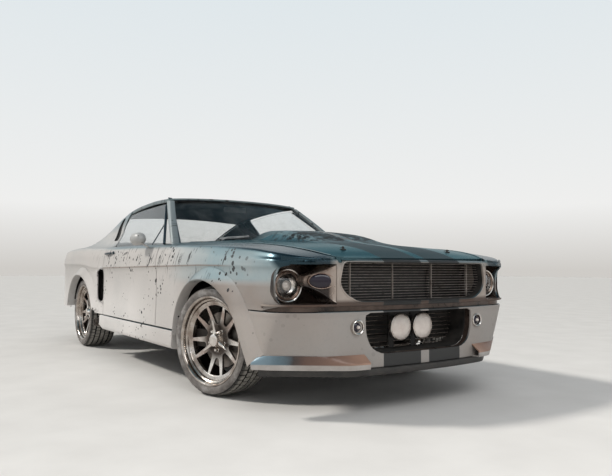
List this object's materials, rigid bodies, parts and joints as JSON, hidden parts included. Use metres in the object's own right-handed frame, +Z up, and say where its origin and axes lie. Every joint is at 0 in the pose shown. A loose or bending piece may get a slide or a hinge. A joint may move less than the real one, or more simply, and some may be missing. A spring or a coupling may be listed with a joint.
{
  "type": "fastback muscle car",
  "caption": "Two-door fastback muscle car with flared arches, deep front valance, hood bulge, twin driving lamps and dark racing stripes; doors, hood, trunk lid, steering and wheels move.",
  "frame": {"origin": "on the ground, under the middle of the car, halfway between the axles", "axes": "+X forward, +Y to the left of the car, +Z up"},
  "size_m": [4.697, 1.968, 1.3244],
  "materials": {
    "paint": "dusty metallic grey paint, satin",
    "underbody": "matte black undercoat",
    "dark_trim": "black trim",
    "window": "clear glass",
    "lamp": "clear lens over a bright reflector",
    "tail_lens": "red lens",
    "bright": "polished",
    "upholstery": "black grained",
    "dash": "black",
    "cast": "bare and oily",
    "steel": "steel tube",
    "alloy": "machined and polished",
    "tyre": "black rubber with grey dust"
  },
  "bodies": {
    "body": {"backlight": "window", "bumper_bar": "dark_trim", "cowl": "paint", "dashboard": "dash", "deck_panel": "paint", "driveline": "cast", "driving_lamps": "lamp", "engine": "cast", "exhaust": "steel", "fender_left": "paint", "fender_right": "paint", "floor_pan": "underbody", "front_seats": "upholstery", "front_suspension": "cast", "fuel_tank": "underbody", "headlamps": "lamp", "hinge_posts": "underbody", "lower_grille": "dark_trim", "nose": "paint", "pod_lamps": "lamp", "quarter_panel_left": "paint", "quarter_panel_right": "paint", "radiator": "alloy", "rear_axle": "cast", "rear_seat": "upholstery", "rear_valance": "paint", "roof": "paint", "side_skirts": "paint", "splitter": "dark_trim", "steering_column": "steel", "tail_lamps": "tail_lens", "tail_panel": "paint", "turn_lamps": "lamp", "upper_grille": "dark_trim", "valance": "paint", "windshield": "window"},
    "door_left": {"door_left": "paint", "door_glass_left": "window", "mirror_left": "bright"},
    "door_right": {"door_right": "paint", "door_glass_right": "window", "mirror_right": "bright"},
    "hood": {"hood": "paint"},
    "trunk_lid": {"trunk_lid": "paint"},
    "steering_wheel": {"steering_wheel": "upholstery"},
    "knuckle_left": {"knuckle_left": "cast"},
    "knuckle_right": {"knuckle_right": "cast"},
    "wheel_front_left": {"rim_front_left": "alloy", "tyre_front_left": "tyre"},
    "wheel_front_right": {"rim_front_right": "alloy", "tyre_front_right": "tyre"},
    "wheel_rear_left": {"rim_rear_left": "alloy", "tyre_rear_left": "tyre"},
    "wheel_rear_right": {"rim_rear_right": "alloy", "tyre_rear_right": "tyre"}
  },
  "joints": [
    {"name": "steer_left", "type": "hinge", "parent": "body", "child": "knuckle_left", "pos_m": [1.3715, 0.69, 0.325], "axis": [0, 0, 1], "range_deg": [-48, 18]},
    {"name": "steer_right", "type": "hinge", "parent": "body", "child": "knuckle_right", "pos_m": [1.3715, -0.69, 0.325], "axis": [0, 0, 1], "range_deg": [-48, 18]},
    {"name": "steering_wheel_turn", "type": "hinge", "parent": "body", "child": "steering_wheel", "pos_m": [0.29, 0.37, 0.872], "axis": [-0.9325, 0, 0.3611], "range_deg": [-770, 290]},
    {"name": "spin_front_left", "type": "hinge", "parent": "knuckle_left", "child": "wheel_front_left", "pos_m": [1.35959, 0.73443, 0.3205], "axis": [-0.2588, 0.9659, 0], "continuous": true},
    {"name": "spin_front_right", "type": "hinge", "parent": "knuckle_right", "child": "wheel_front_right", "pos_m": [1.38341, -0.73443, 0.3205], "axis": [-0.2588, 0.9659, 0], "continuous": true},
    {"name": "spin_rear_left", "type": "hinge", "parent": "body", "child": "wheel_rear_left", "pos_m": [-1.3715, 0.736, 0.3205], "axis": [0, 1, 0], "continuous": true},
    {"name": "spin_rear_right", "type": "hinge", "parent": "body", "child": "wheel_rear_right", "pos_m": [-1.3715, -0.736, 0.3205], "axis": [0, 1, 0], "continuous": true},
    {"name": "door_left_swing", "type": "hinge", "parent": "body", "child": "door_left", "pos_m": [0.545, 0.874, 0.62], "axis": [0, 0, -1], "range_deg": [0, 60]},
    {"name": "door_right_swing", "type": "hinge", "parent": "body", "child": "door_right", "pos_m": [0.545, -0.874, 0.62], "axis": [0, 0, 1], "range_deg": [0, 60]},
    {"name": "hood_lift", "type": "hinge", "parent": "body", "child": "hood", "pos_m": [0.8, 0, 0.99], "axis": [0, -1, 0], "range_deg": [0, 50]},
    {"name": "trunk_lift", "type": "hinge", "parent": "body", "child": "trunk_lid", "pos_m": [-1.795, 0, 1.005], "axis": [0, 1, 0], "range_deg": [0, 60]}
  ],
  "couplings": [
    {"joint": "steer_right", "follows": "steer_left", "ratio": 1},
    {"joint": "steering_wheel_turn", "follows": "steer_left", "ratio": 16}
  ]
}
